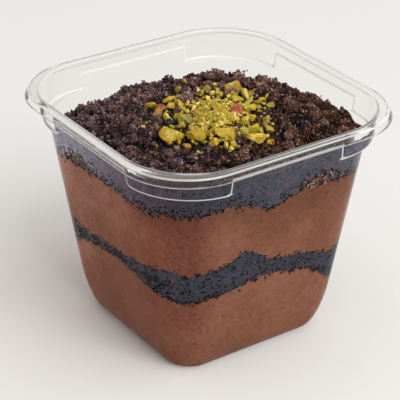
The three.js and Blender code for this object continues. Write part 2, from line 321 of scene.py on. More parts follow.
def clear_sheet(name, haze_and_glow, index):
    """Clear sheet a little wavy from forming. Light reaches the food through it."""
    material, tree, shader = new_material(name)
    shader.inputs["Base Color"].default_value = (0.96, 0.96, 0.95, 1)
    shader.inputs["Roughness"].default_value = 0.03
    shader.inputs["IOR"].default_value = index
    # What is not let through is a whitish diffuse sheet; on the bends and steps it is a painted glow for the
    # bright room refracted in the plastic.
    shader.inputs["Transmission Weight"].default_value = 1 - haze_and_glow
    set_bumps(tree, shader, clouds(tree, own_coords(tree), 90, 1), 0.08, 0.0004)
    rays = node(tree, "ShaderNodeLightPath").outputs
    let_through = node(tree, "ShaderNodeBsdfTransparent", in_Color=(0.94, 0.94, 0.94, 1)).outputs["BSDF"]
    for_lamps = node(tree, "ShaderNodeMixShader", in_0=rays["Is Shadow Ray"], in_1=shader.outputs["BSDF"],
                     in_2=let_through).outputs["Shader"]
    for_bounces = node(tree, "ShaderNodeMixShader", in_0=rays["Is Diffuse Ray"], in_1=for_lamps,
                       in_2=let_through).outputs["Shader"]
    tree.links.new(for_bounces, tree.nodes["Material Output"].inputs["Surface"])
    return material


shade_by_angle(cup, 40)
for name, (haze_and_glow, index) in FINISHES.items():
    cup.data.materials.append(clear_sheet(f"clear_{name}", haze_and_glow, index))
# Where the step climbs steeply, at the lugs' ends, the painted whitish glow is kept only along a line.
for face in cup.data.polygons:
    ring = min(face.vertices) // len(cup_places)
    finish = cup_rings[ring][1]
    heights = [cup.data.vertices[corner].co.z for corner in face.vertices]
    on_step = min(ring, len(cup_rings) - 1 - ring) in range(FOOT_RINGS, FOOT_RINGS + 8)
    on_line = ring == FOOT_RINGS + 5
    if on_step and not on_line and finish != "wall" and max(heights) - min(heights) > STEEP * MM:
        finish = "end"
    face.material_index = list(FINISHES).index(finish)
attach(cup, "root")
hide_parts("cup")


# --- Lower mousse ---
# Soft chocolate mousse, poured in first: it takes the cup's form and lies on the wall without a gap, so its
# side is smooth, with a few small bubbles. Its top is uneven where the crumbs were strewn on it.
INTO_WALL = 0.3
FOOD_SHARES = list(np.linspace(0, 1, 31))
FOOD_TURNS = list(np.linspace(0, 45, 28)[:-1])
MOUSSE_RINGS = 10
# Joints between layers at the wall: a level, then swells as (degrees from +X, rise, half width in degrees).
BAND_BOTTOM = (34.5, [(60, 2, 25), (100, -2, 18), (140, -5, 13), (188, 2.6, 20), (226, -3.4, 11),
                      (247, -1.1, 7), (262, 0.8, 10), (284, -1.4, 7), (310, -12, 15)])
food_places = places_round(FOOD_SHARES, FOOD_TURNS)


def turned_from(degrees, at):
    """Degrees from one direction to others, from -180 to 180."""
    return (degrees - at + 540) % 360 - 180


def bearings(points):
    """Directions of points from the middle, in degrees from +X."""
    return np.degrees(np.arctan2(points[:, 1], points[:, 0])) % 360


def wave_round(joint, degrees):
    """The height of a joint between layers at the wall, in a direction from the middle."""
    level, swells = joint
    height = np.full(np.shape(degrees), float(level))
    for at, rise, width in swells:
        height += rise * np.exp(-((turned_from(degrees, at) / width) ** 2))
    return height


def ragged(points, size, seed):
    """Chance from -1 to 1 at each point that changes over about one size."""
    return np.array([noise.noise(Vector(p) / size + Vector((seed, 0, 0))) for p in points])


def joint_heights(joint):
    """Heights of a joint at the food's places, with the crumbs' small unevenness on the swells."""
    at_level = outline_points(food_places, body_outline(joint[0], INTO_WALL), joint[0])
    return (wave_round(joint, bearings(at_level)) + 0.5 * ragged(at_level, 2.6, joint[0])
            + 0.25 * ragged(at_level, 1.3, joint[0] + 50))


def wall_rings(low, high, count, inset=INTO_WALL):
    """Rings up the wall between two heights that differ from place to place."""
    heights = [low + (high - low) * share for share in np.linspace(0, 1, count)]
    return [outline_points(food_places, body_outline(z, inset), z) for z in heights]


def closing_rings(heights, level, inset=INTO_WALL, steps=3):
    """Rings from the wall in towards the middle, flattening out to a level."""
    edge = outline_points(food_places, body_outline(heights, inset), heights)
    rings = []
    for share in np.linspace(1, 0.1, steps + 1)[1:]:
        ring = edge * share
        ring[:, 2] = level + (heights - level) * share**2
        rings.append(ring)
    return rings


UNDER_NEXT = 0.6  # how far each layer runs on behind the next one's edge
BEHIND_NEXT = INTO_WALL + 0.1  # and how far in from the wall's outside it lies there
band_bottom_z = joint_heights(BAND_BOTTOM)
mousse_lower = model_in_rings("mousse_lower_soft", [
    *foot_rings(food_places, INTO_WALL),
    *wall_rings(np.full(len(food_places), FOOT_HEIGHT), band_bottom_z, MOUSSE_RINGS)[1:],
    *wall_rings(band_bottom_z, band_bottom_z + UNDER_NEXT, 2, BEHIND_NEXT)[1:],
    *closing_rings(band_bottom_z + UNDER_NEXT, BAND_BOTTOM[0], BEHIND_NEXT),
])


def dotted(tree, coords, scale):
    """How far each place lies from the nearest of many chance points."""
    return node(tree, "ShaderNodeTexVoronoi", in_Vector=coords, in_Scale=scale).outputs["Distance"]


def distance_along(tree, coords, way):
    """How far each place lies along a way, in metres times the way's length."""
    return node(tree, "ShaderNodeVectorMath", operation="DOT_PRODUCT", in_0=coords,
                in_1=way).outputs["Value"]


def ranged(tree, source, low, high, to_low=0, to_high=1):
    """Carries a value from one range over to another, held at the ends."""
    return node(tree, "ShaderNodeMapRange", in_Value=source, in_From_Min=low, in_From_Max=high,
                in_To_Min=to_low, in_To_Max=to_high).outputs["Result"]


def from_side(tree, coords):
    """From 0 at one of the cup's corners to 1 at the corner across from it."""
    return ranged(tree, distance_along(tree, coords, (-0.82, 0.58, 0)), -0.055, 0.055)


def ramped(tree, source, stops):
    """Colours along a ramp, as pairs of position and colour, from first to last."""
    ramp = node(tree, "ShaderNodeValToRGB", in_Fac=source)
    elements = ramp.color_ramp.elements
    while len(elements) < len(stops):
        elements.new(0.5)
    for element, (position, colour) in zip(elements, stops):
        element.position = position
        element.color = (*colour, 1)
    return ramp.outputs["Color"]


def added(tree, first, second):
    """Two values together."""
    return node(tree, "ShaderNodeMath", operation="ADD", in_0=first, in_1=second).outputs["Value"]


def mixed(tree, first, second, factor, blend="MIX"):
    """Two colours laid over each other."""
    return node(tree, "ShaderNodeMix", data_type="RGBA", blend_type=blend, in_Factor=factor, in_A=first,
                in_B=second).outputs["Result"]


def scaled(tree, colour, share):
    """A colour made darker or lighter."""
    return node(tree, "ShaderNodeVectorMath", operation="SCALE", in_Vector=colour,
                in_Scale=share).outputs["Vector"]


mousse, tree, shader = new_material("chocolate_mousse")
shader.inputs["Roughness"].default_value = 0.6
shader.inputs["Specular IOR Level"].default_value = 0
coords = own_coords(tree)
# It is paler on one side, the more so further up: a painted reflection of the pale floor in the wall there.
streaks = clouds(tree, coords, 45, 3, 0.55)
painted_floor_reflection = ranged(tree, distance_along(tree, coords, (-0.82, 0.58, 0.25)), 0.036, 0.062, 0, 0.45)
colour = ramped(tree, added(tree, streaks, painted_floor_reflection), [
    (0.3, (0.176, 0.073, 0.0445)), (0.7, (0.252, 0.106, 0.066)), (1, (0.410, 0.196, 0.147))])
# Its fine bubbles make it grainy, and the larger ones show as specks.
colour = mixed(tree, colour, clouds(tree, coords, 700, 3, 0.65), 0.5, "OVERLAY")
specks = ranged(tree, dotted(tree, coords, 420), 0.08, 0.18, 0.4, 1)
colour = mixed(tree, colour, specks, 1, "MULTIPLY")
# It is darker along one corner, a painted shade, and darker close under the heap, a painted shadow.
painted_corner_shade = ramped(tree, from_side(tree, coords), [
    (0.4, (1, 1, 1)), (0.46, (0.92, 0.91, 0.94)), (0.53, (0.66, 0.59, 0.65)), (0.6, (0.79, 0.71, 0.74)),
    (0.67, (0.97, 0.88, 0.91)), (0.78, (1, 0.96, 0.94)), (0.86, (1, 1, 1))])
upwards = distance_along(tree, coords, (0.164, -0.116, 1))
colour = mixed(tree, colour, painted_corner_shade, ranged(tree, upwards, 0.006, 0.024), "MULTIPLY")
# Painted shadow close under the heap.
colour = scaled(tree, colour, ranged(tree, upwards, 0.056, 0.068, 1, 0.74))
tree.links.new(colour, shader.inputs["Base Color"])

shade_by_angle(mousse_lower, 60)
mousse_lower.data.materials.append(mousse)
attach(mousse_lower, "root")
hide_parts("mousse_lower")


# --- Crumb band ---
# Fine dark biscuit crumbs strewn between the two mousse layers. Pressed on the wall they look grey, a
# painted reflection of the bright room in the wall's inner face laid over their dark colour, and dark where
# moist crumbs touch the plastic, most along the edges.
BAND_TOP = (40.5, [(20, -2, 25), (75, 2.5, 22), (115, -1.5, 15), (160, -1.8, 10), (222, 4, 20),
                   (228, -1.8, 5), (245, -1.3, 3), (252, 7.6, 12), (306, -5.5, 16)])
BAND_RINGS = 14
band_top_z = joint_heights(BAND_TOP)
crumb_band = model_in_rings("crumb_band", [
    *closing_rings(band_bottom_z, BAND_BOTTOM[0])[::-1],
    *wall_rings(band_bottom_z, band_top_z, BAND_RINGS),
    *closing_rings(band_top_z, BAND_TOP[0]),
])

# The grey of crumbs pressed on the wall is a painted reflection of the bright room in the wall's inner face,
# over the crumbs' dark colour.
painted_wall_reflection, tree, shader = new_material("crumbs_on_wall")
shader.inputs["Roughness"].default_value = 0.8
shader.inputs["Specular IOR Level"].default_value = 0
coords = own_coords(tree)
colour = ramped(tree, clouds(tree, coords, 260, 3, 0.65), [
    (0.34, (0.038, 0.045, 0.055)), (0.52, (0.050, 0.047, 0.062)), (0.7, (0.076, 0.059, 0.080))])
# Grains paler and darker than the rest, and small dark spots where a crumb's tip touches the wall.
grains = clouds(tree, coords, 1500, 2, 0.6)
colour = scaled(tree, colour, ranged(tree, grains, 0.35, 0.65, 0.7, 1.3))
spots = ranged(tree, added(tree, dotted(tree, coords, 900), grains), 0.62, 0.74, 0.25, 1)
colour = mixed(tree, colour, spots, 1, "MULTIPLY")
# The painted reflection makes it paler towards the top of the heap and towards two of the cup's corners, and
# there more so beside the heap than in the band.
height = node(tree, "ShaderNodeSeparateXYZ", in_Vector=coords).outputs["Z"]
across = from_side(tree, coords)
band_painted_reflection = ramped(tree, across, [
    (0, (0.26,) * 3), (0.13, (0.15,) * 3), (0.55, (0.145,) * 3), (0.64, (0.18, 0.165, 0.170)),
    (0.78, (0.27, 0.235, 0.235)), (0.92, (0.40, 0.36, 0.36)), (1, (0.46, 0.43, 0.44))])
heap_painted_reflection = ramped(tree, across, [
    (0, (0.33,) * 3), (0.14, (0.20,) * 3), (0.3, (0.19,) * 3), (0.42, (0.14,) * 3),
    (0.57, (0.143, 0.132, 0.132)), (0.66, (0.23, 0.182, 0.190)), (0.76, (0.36, 0.325, 0.325)),
    (0.84, (0.58, 0.55, 0.54)), (0.9, (0.84, 0.84, 0.80)), (1, (0.98, 1, 0.98))])
painted_reflection = mixed(tree, band_painted_reflection, heap_painted_reflection, ranged(tree, height, 0.052, 0.062))
painted_reflection = scaled(tree, painted_reflection, ranged(tree, height, 0.064, 0.076, 6.8, 7.8))
with_painted_reflection = node(tree, "ShaderNodeVectorMath", operation="MULTIPLY", in_0=colour, in_1=painted_reflection)
tree.links.new(with_painted_reflection.outputs["Vector"], shader.inputs["Base Color"])

shade_by_angle(crumb_band, 60)
crumb_band.data.materials.append(painted_wall_reflection)
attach(crumb_band, "root")
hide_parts("crumb_layer")


# --- Upper mousse ---
# The second pour of the same mousse, over the crumb band.
MOUSSE_TOP = (67.3, [(45, -2.5, 25), (120, -2.8, 22), (143, -3, 9), (190, 1, 20), (215, -1, 3),
                     (228, -0.6, 5), (243, 2.2, 7), (265, -3.2, 8), (262, -1, 3), (283, 0.4, 8),
                     (312, -2.3, 12)])
mousse_top_z = joint_heights(MOUSSE_TOP)
mousse_upper = model_in_rings("mousse_upper_soft", [
    *closing_rings(band_top_z - UNDER_NEXT, BAND_TOP[0], BEHIND_NEXT)[::-1],
    *wall_rings(band_top_z - UNDER_NEXT, band_top_z, 2, BEHIND_NEXT)[:1],
    *wall_rings(band_top_z, mousse_top_z, MOUSSE_RINGS),
    *wall_rings(mousse_top_z, mousse_top_z + UNDER_NEXT, 2, BEHIND_NEXT)[1:],
    *closing_rings(mousse_top_z + UNDER_NEXT, MOUSSE_TOP[0], BEHIND_NEXT),
])
shade_by_angle(mousse_upper, 60)
mousse_upper.data.materials.append(mousse)
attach(mousse_upper, "root")
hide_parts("mousse_upper")


# --- Heap of crumbs: its core ---
# A flat mound of crumbs up to the wall. The core is the heap under its loose top crumbs: its side lies on
# the wall, grey with the same painted reflection as the band, and its top is rough, dark crumb.
HEAP_EDGE = (71, [(48, -2.5, 18), (92, 0.7, 10), (115, -2.3, 18), (180, -0.5, 20), (270, 2, 25),
                  (325, 1.5, 12), (350, 3.3, 28)])
HEAP_CROWN_Z = 76
HEAP_SHOULDER = 2.8
CLUMPS = [(5.5, 2), (2.8, 1.6)]  # size over the heap, and height
HEAP_RINGS = 90
UNDER_CRUMBS = 0.8  # how far the core lies below the loose crumbs' level


def chance(seed):
    """Repeatable chance from 0 to 1, the same draws that lay out the solid heap."""
    state = seed

    def draw():
        nonlocal state
        state = (state + 0x6D2B79F5) & 0xFFFFFFFF
        t = (state ^ (state >> 15)) * (1 | state) & 0xFFFFFFFF
        t = ((t + ((t ^ (t >> 7)) * (61 | t) & 0xFFFFFFFF)) & 0xFFFFFFFF) ^ t
        return (t ^ (t >> 14)) / 0x100000000

    return draw


def eased(share):
    """A share from 0 to 1 that starts and ends gently."""
    return share**2 * (3 - 2 * share)


def clump_wave(size, seed):
    """A smooth wave of chance over the plane, from -1 to 1, that changes over about one size."""
    draw = chance(seed)
    cells = math.ceil(4 * RIM_OUTER[0] / size)
    grid = np.array([draw() * 2 - 1 for _ in range(cells * cells)]).reshape(cells, cells)

    def height(x, y):
        u, v = x / size + cells / 2, y / size + cells / 2
        i, j = np.floor(u).astype(int), np.floor(v).astype(int)
        p, q = eased(u - i), eased(v - j)
        low = grid[i % cells, j % cells] * (1 - p) + grid[(i + 1) % cells, j % cells] * p
        high = grid[i % cells, (j + 1) % cells] * (1 - p) + grid[(i + 1) % cells, (j + 1) % cells] * p
        return low * (1 - q) + high * q

    return height


def reach(degrees, outline):
    """How far out an outline lies in a direction."""
    half, radius = outline
    middle = half - radius
    turned = np.radians((degrees + 45) % 90 - 45)
    c, s = np.cos(turned), np.abs(np.sin(turned))
    along = middle * (c + s)
    on_corner = along + np.sqrt(np.maximum(along**2 - 2 * middle**2 + radius**2, 0))
    return np.where(half * s <= middle * c, half / c, on_corner)


heap_waves = [(clump_wave(size, 11 + k), height) for k, (size, height) in enumerate(CLUMPS)]
heap_outline = body_outline(HEAP_EDGE[0], WALL)


def heap_z(x, y):
    """The height of the heap's lumpy top."""
    x, y = np.asarray(x, float), np.asarray(y, float)
    degrees = np.degrees(np.arctan2(y, x)) % 360
    out = np.minimum(1.1, np.hypot(x, y) / reach(degrees, heap_outline))
    mound = HEAP_CROWN_Z + (wave_round(HEAP_EDGE, degrees) - HEAP_CROWN_Z) * out**HEAP_SHOULDER
    return mound + sum(height / 2 * wave(x, y) for wave, height in heap_waves)


# Fine crumbs cling to the wall above the heap's edge, round the sides where the cup was filled.
CLING_TOP_Z = 80.2
CLING_FROM, CLING_TO, CLING_FADE = 142, 318, 14  # degrees from +X
CLING_DEPTH = 0.5

edge = outline_points(food_places, body_outline(HEAP_EDGE[0], INTO_WALL), HEAP_EDGE[0])
edge_degrees = bearings(edge)
edge_z = heap_z(edge[:, 0], edge[:, 1])
within = np.minimum(edge_degrees - CLING_FROM, CLING_TO - edge_degrees) / CLING_FADE
clinging = np.clip(0.5 + within, 0, 1)
cling_z = edge_z + eased(clinging) * (CLING_TOP_Z + 0.8 * ragged(edge, 3, 9) - edge_z)
# They fill two of the lugs too, as far up as they reach.
lug_shelf_z = SIDE_SHELF_Z - lug_drop(food_places, 0) - INTO_WALL
in_lug = (lug_drop(food_places, 0) > 0) & (cling_z > lug_shelf_z + 0.5) & (edge_degrees > 180)


def lug_rings(count):
    """Rings up the film of crumbs above the lugs' shelf, on the collar in the lugs and else on the body."""
    low = np.where(in_lug, lug_shelf_z, cling_z - 0.9)
    rings = []
    for share in np.linspace(0, 1, count):
        z = low + (cling_z - low) * share
        collar = RIM_INNER - COLLAR_TAPER * (CUP_TOP - z)[:, None] + WALL - INTO_WALL
        outline = np.where(in_lug[:, None], collar, body_outline(z, INTO_WALL))
        rings.append(outline_points(food_places, outline, z))
    return rings


def heap_rings():
    """Rings from the top of the clinging crumbs down to the heap's edge and in over its top."""
    rings = [outline_points(food_places, body_outline(cling_z, INTO_WALL + CLING_DEPTH), cling_z),
             outline_points(food_places, body_outline(edge_z, INTO_WALL + CLING_DEPTH + 0.1), edge_z)]
    edge = outline_points(food_places, body_outline(edge_z, INTO_WALL), edge_z)
    for share in np.linspace(0.98, 0.01, HEAP_RINGS):
        ring = edge * share
        ring[:, 2] = heap_z(ring[:, 0], ring[:, 1]) - UNDER_CRUMBS * min(1, (1 - share) / 0.05)
        rings.append(ring)
    return rings


side_rings = [
    *closing_rings(mousse_top_z, MOUSSE_TOP[0])[::-1],
    *wall_rings(mousse_top_z, np.where(in_lug, lug_shelf_z - SHELF_DROP, cling_z - 1), 12),
    *lug_rings(5),
]
heap_core = model_in_rings("heap_core", side_rings + heap_rings())
corner_rings = np.arange(len(heap_core.data.vertices)) // len(food_places)

# The top alone gets the crumbs' relief, in two sizes, and its own material.
crumb_relief = heap_core.vertex_groups.new(name="top")
top_corners = np.flatnonzero(corner_rings > len(side_rings) + 2).tolist()
crumb_relief.add(top_corners, 1, "REPLACE")
for kind, size, depth, level in (("VORONOI", 2.6, -2.4, 0.25), ("CLOUDS", 0.8, 1.1, 0.6)):
    rough = bpy.data.textures.new(f"crumb_relief_{size}", kind)
    rough.noise_scale = size * MM
    relief = heap_core.modifiers.new("relief", "DISPLACE")
    relief.texture = rough
    relief.strength = depth * MM
    relief.mid_level = level
    relief.vertex_group = "top"
    bpy.context.view_layer.objects.active = heap_core
    bpy.ops.object.modifier_apply(modifier=relief.name)


def own_value(tree, name):
    """A value that each corner of the piece carries."""
    return node(tree, "ShaderNodeAttribute", attribute_name=name).outputs["Fac"]


crumb, tree, shader = new_material("dark_crumb")
shader.inputs["Roughness"].default_value = 0.75
shader.inputs["Specular IOR Level"].default_value = 0.15
coords = own_coords(tree)
lightness = added(tree, ranged(tree, clouds(tree, coords, 1400, 2, 0.65), 0.3, 0.7, -0.27, 0.27),
                  own_value(tree, "tint"))
# Some of it baked browner, some has more of a plum tone, and one side of the heap has more of those as a
# painted cool cast of the light from there.
brown = ramped(tree, lightness, [
    (0, (0.005, 0.003, 0.002)), (0.3, (0.036, 0.014, 0.007)), (0.6, (0.152, 0.064, 0.036)),
    (0.85, (0.290, 0.165, 0.105)), (1, (0.450, 0.320, 0.230))])
plum = ramped(tree, lightness, [
    (0, (0.004, 0.005, 0.009)), (0.3, (0.027, 0.022, 0.029)), (0.6, (0.132, 0.076, 0.088)),
    (0.85, (0.280, 0.170, 0.175)), (1, (0.430, 0.330, 0.320))])
plum_and_side_cast = added(tree, clouds(tree, coords, 420, 3, 0.65), distance_along(tree, coords, (-1.6, 1.1, 0)))
colour = mixed(tree, brown, plum, ranged(tree, plum_and_side_cast, 0.44, 0.56))
tree.links.new(colour, shader.inputs["Base Color"])
set_bumps(tree, shader, clouds(tree, coords, 2600, 2, 0.6), 0.9, 0.0004)


def set_corner_values(piece, name, values):
    """Gives each corner of a piece a value that its material can read."""
    attribute = piece.data.attributes.new(name, "FLOAT", "POINT")
    attribute.data.foreach_set("value", np.asarray(values, np.float32))


# A crumb's tint is how light it is.
# The core's low tint is painted shade where it shows in the gaps between the loose crumbs.
set_corner_values(heap_core, "tint", np.full(len(heap_core.data.vertices), 0.25))
shade_by_angle(heap_core, 80)
heap_core.data.materials.append(painted_wall_reflection)
heap_core.data.materials.append(crumb)
for face in heap_core.data.polygons:
    face.material_index = int(corner_rings[min(face.vertices)] >= len(side_rings) - 1)
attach(heap_core, "root")
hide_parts("crumb_top")


# --- Chopped pistachios ---
# Shelled pistachio kernels, chopped: flat cut faces of yellow-green flesh, and here and there the kernel's
# rounded side with its thin olive or red-brown skin. Fine bits from the chopping lie between the pieces.
random = np.random.default_rng(7)
PISTACHIO_SUNK = 0.1
# How a piece looks, from 0 to 1, is a place on the flesh's colours.
RED, ROSY, ORANGE, TAN, OLIVE, GREEN, YELLOW, BRIGHT, PALE = 0, 0.06, 0.14, 0.3, 0.44, 0.58, 0.72, 0.86, 1
# Place over the heap, then length, width, height, the turn of the length in degrees, and the colour.
PISTACHIOS = [
    (-18, -6, 9.5, 4.2, 5, -10, BRIGHT), (-13, -12, 7, 4.8, 5.6, -75, YELLOW),
    (-9, -17, 3.5, 3.2, 3.8, -115, BRIGHT), (-4, -16, 6.5, 5.2, 5, -35, YELLOW),
    (-4, -21, 3, 2.8, 3.4, -115, YELLOW), (4, -16, 4.5, 3, 3.6, -85, GREEN),
    (4, -23, 7, 3.4, 3.6, -10, BRIGHT), (12, -19, 4.5, 2.8, 3.4, -75, YELLOW),
    (8, -16, 4.5, 3.4, 3.6, -15, YELLOW), (8, -26, 2.5, 2, 1.4, -35, ORANGE),
    (-11, 7, 4.5, 3.4, 4.2, -75, PALE), (-12, 12, 3.5, 3.4, 4, -115, OLIVE),
    (-9, 20, 4.5, 2.2, 2.4, -55, YELLOW), (-9, 14, 4, 3.2, 3, -35, RED),
    (-3, 11, 7, 2.6, 3.2, -95, YELLOW), (-2, 21, 4, 2.4, 2, -15, YELLOW), (3, 21, 4, 2.8, 2.4, -35, TAN),
    (-5, 14, 3, 2.2, 2.6, -35, YELLOW), (-8, 6, 2.5, 2.4, 2.6, -35, GREEN), (-8, 1, 5, 4, 4.8, -35, GREEN),
    (-3, 1, 5, 3.8, 4.6, -15, OLIVE), (15, 21, 4, 3.2, 3.8, -115, OLIVE),
    (10, 18, 2.5, 2.2, 2, -35, YELLOW), (22.5, 15.5, 6.3, 4.6, 5, -35, BRIGHT),
    (21.5, 6.5, 5.5, 3.4, 4.6, -90, PALE), (17, 6, 5, 2.4, 2.8, -35, YELLOW),
    (11, 10, 4.5, 2.4, 2.8, -95, PALE), (13, 8, 3, 2.4, 2.8, -35, YELLOW),
    (10, -4, 4.8, 4.2, 5.6, -115, ROSY), (16, -3, 4.5, 2.8, 3.2, -25, YELLOW),
    (25, 2, 3, 2.4, 2.6, -35, YELLOW), (25, -3, 3, 2, 2.2, -35, OLIVE),
    (13, -8, 3.5, 2.8, 2.8, -35, YELLOW), (8, -12, 2.5, 2, 2.4, -35, GREEN),
    (-17, -13, 3, 2.4, 2.2, -35, TAN), (-20, -7, 2.5, 2, 2, -35, TAN), (6, 26, 2.5, 2.2, 2.4, -35, OLIVE),
    (6, -1, 3.5, 2.6, 3, 0, BRIGHT), (1, -2, 3.5, 2.6, 3, -75, YELLOW),
    (1, -8, 3.5, 2.8, 3.4, -35, BRIGHT), (5, -6, 4, 2.6, 3, 25, YELLOW), (-5, -7, 4, 2.4, 2.8, 0, OLIVE),
    (6, 4, 3, 2.2, 2.6, -35, YELLOW), (1, 8, 3, 2.2, 2.4, -35, TAN), (8, 12, 2.5, 2, 2.2, -35, YELLOW),
    (20, -2, 2.5, 2, 2.2, -35, GREEN),
]
CRUMBLED_COUNT = 34
CRUMBLED_MIDDLE = (5, 2)
CRUMBLED_SPREAD = 20
CRUMBLED_SIZES = (1.6, 2.8)
PILED_COUNT = 95
PILED_SIZES = (1.5, 3.1)
BITS_COUNT = 1150
BITS_SIZES = (0.45, 1.75)
BITS_REACH = 36
BITS_MIDDLE = (3, -2)
BITS_SPREAD = (7, 4.5)  # along and across the way that they were strewn
BITS_TURN = 55
KERNEL = (0.62, 0.52, 0.5)  # half sizes of the kernel's oval about a chopped piece of unit size


def cut_by_chance(draw, cuts, nearest, furthest):
    """Chops flat faces off the active piece, at chance angles; the first lies on top."""
    bpy.ops.object.mode_set(mode="EDIT")
    for cut in range(cuts):
        away = Vector(draw.normal(size=3)).normalized()
        if cut == 0:
            away = Vector((0.25 * draw.normal(), 0.25 * draw.normal(), 1)).normalized()
        bpy.ops.mesh.select_all(action="SELECT")
        bpy.ops.mesh.bisect(plane_co=away * draw.uniform(nearest, furthest), plane_no=away, use_fill=True,
                            clear_outer=True)
    bpy.ops.mesh.select_all(action="SELECT")
    bpy.ops.mesh.quads_convert_to_tris()
    bpy.ops.object.mode_set(mode="OBJECT")


def corners_and_faces(piece):
    """A piece's corners and faces; the piece itself is taken away."""
    points = np.array([v.co for v in piece.data.vertices])
    faces = np.array([f.vertices for f in piece.data.polygons])
    bpy.data.objects.remove(piece)
    return points, faces


def unit_shape(chunk):
    """Corners and faces of a piece brought to unit size."""
    points, faces = corners_and_faces(chunk)
    low, high = points.min(axis=0), points.max(axis=0)
    return (points - (low + high) / 2) / (high - low), faces


def chopped_kind(k):
    """A large piece cut from a kernel, its faces a little rough, and how much of each corner is skin."""
    draw = np.random.default_rng(40 + k)
    bpy.ops.mesh.primitive_ico_sphere_add(subdivisions=4, radius=1, scale=KERNEL)
    chunk = bpy.context.object
    bpy.ops.object.transform_apply(location=False, rotation=False, scale=True)
    cut_by_chance(draw, 9, 0.18, 0.4)
    remesh = chunk.modifiers.new("even", "REMESH")
    remesh.mode = "SHARP"
    remesh.octree_depth = 5
    bpy.ops.object.modifier_apply(modifier=remesh.name)
    fewer = chunk.modifiers.new("fewer", "DECIMATE")
    fewer.ratio = 0.2
    bpy.ops.object.modifier_apply(modifier=fewer.name)
    near_oval = np.sqrt(((np.array([v.co for v in chunk.data.vertices]) / KERNEL) ** 2).sum(axis=1))
    for size, depth in ((0.3, 0.07), (0.1, 0.035)):
        rough = bpy.data.textures.new("broken_face", "CLOUDS")
        rough.noise_scale = size
        relief = chunk.modifiers.new("relief", "DISPLACE")
        relief.texture = rough
        relief.strength = depth
        bpy.ops.object.modifier_apply(modifier=relief.name)
    bpy.ops.object.mode_set(mode="EDIT")
    bpy.ops.mesh.select_all(action="SELECT")
    bpy.ops.mesh.quads_convert_to_tris()
    bpy.ops.object.mode_set(mode="OBJECT")
    return *unit_shape(chunk), np.clip((near_oval - 0.97) / 0.03, 0, 1)


def chip_kind(k, cuts):
    """A small sharp chip of unit size, all flat faces and without skin."""
    draw = np.random.default_rng(80 + k)
    bpy.ops.mesh.primitive_cube_add(size=0.9)
    chip = bpy.context.object
    cut_by_chance(draw, cuts, 0.2, 0.4)
    points, faces = unit_shape(chip)
    return points, faces, np.zeros(len(points))


def joined_piece(name, points, faces, tints):
    """One piece from lists of corners, faces and the corners' tints."""
    mesh = bpy.data.meshes.new(name)
    mesh.from_pydata((np.concatenate(points) * MM).tolist(), [], np.concatenate(faces).tolist())
    piece = bpy.data.objects.new(name, mesh)
    bpy.context.collection.objects.link(piece)
    set_corner_values(piece, "tint", np.concatenate(tints))
    return piece


def scattered(name, kinds, placed, skin_share):
    """One joined mesh of chopped pieces: each place has its centre, sizes, turn matrix and colour."""
    points, faces, skins, tones = [], [], [], []
    first = 0
    for k, (centre, sizes, turn, tone) in enumerate(placed):
        shape, shape_faces, skin = kinds[k % len(kinds)]
        points.append(shape * sizes @ turn.T + centre)
        faces.append(shape_faces + first)
        skins.append(skin * (tone < YELLOW and random.random() < skin_share))
        tones.append(np.full(len(shape), tone))
        first += len(shape)
    piece = joined_piece(name, points, faces, tones)
    set_corner_values(piece, "skin", np.concatenate(skins))
    return piece


def turned(x, y, z):
    """The matrix of turns about X, Y and Z."""
    return np.array(Euler((x, y, z)).to_matrix())


def random_turns(count):
    """Turns spread evenly over all directions."""
    q = random.normal(size=(count, 4))
    w, x, y, z = (q / np.linalg.norm(q, axis=1, keepdims=True)).T
    rows = [1 - 2 * (y * y + z * z), 2 * (x * y - z * w), 2 * (x * z + y * w),
            2 * (x * y + z * w), 1 - 2 * (x * x + z * z), 2 * (y * z - x * w),
            2 * (x * z - y * w), 2 * (y * z + x * w), 1 - 2 * (x * x + y * y)]
    return np.stack(rows, axis=1).reshape(-1, 3, 3)


def strewn_place(wider=1):
    """A chance place where the chopped nuts were strewn thickest, in a long patch."""
    along, across = wider * random.normal(0, BITS_SPREAD)
    turn = math.radians(BITS_TURN)
    return (BITS_MIDDLE[0] + along * math.cos(turn) - across * math.sin(turn),
            BITS_MIDDLE[1] + along * math.sin(turn) + across * math.cos(turn))


large = []
for x, y, length, width, height, turn, tone in PISTACHIOS:
    centre = np.array([x, y, float(heap_z(x, y)) + height * (0.5 - PISTACHIO_SUNK)])
    tilt = turned(random.uniform(-0.25, 0.25), random.uniform(-0.25, 0.25), math.radians(turn))
    large.append((centre, (length, width, height), tilt, tone))
draw = chance(5)
small = []
for _ in range(CRUMBLED_COUNT):
    away = CRUMBLED_SPREAD * math.sqrt(draw())
    turn = 2 * math.pi * draw()
    size = CRUMBLED_SIZES[0] + (CRUMBLED_SIZES[1] - CRUMBLED_SIZES[0]) * draw()
    x = CRUMBLED_MIDDLE[0] + away * math.cos(turn)
    y = CRUMBLED_MIDDLE[1] + away * math.sin(turn)
    centre = np.array([x, y, float(heap_z(x, y)) + 0.5 * size])
    small.append((centre, (size, 0.85 * size, 0.75 * size), turned(0, 0, turn), random.uniform(0.3, 1)))
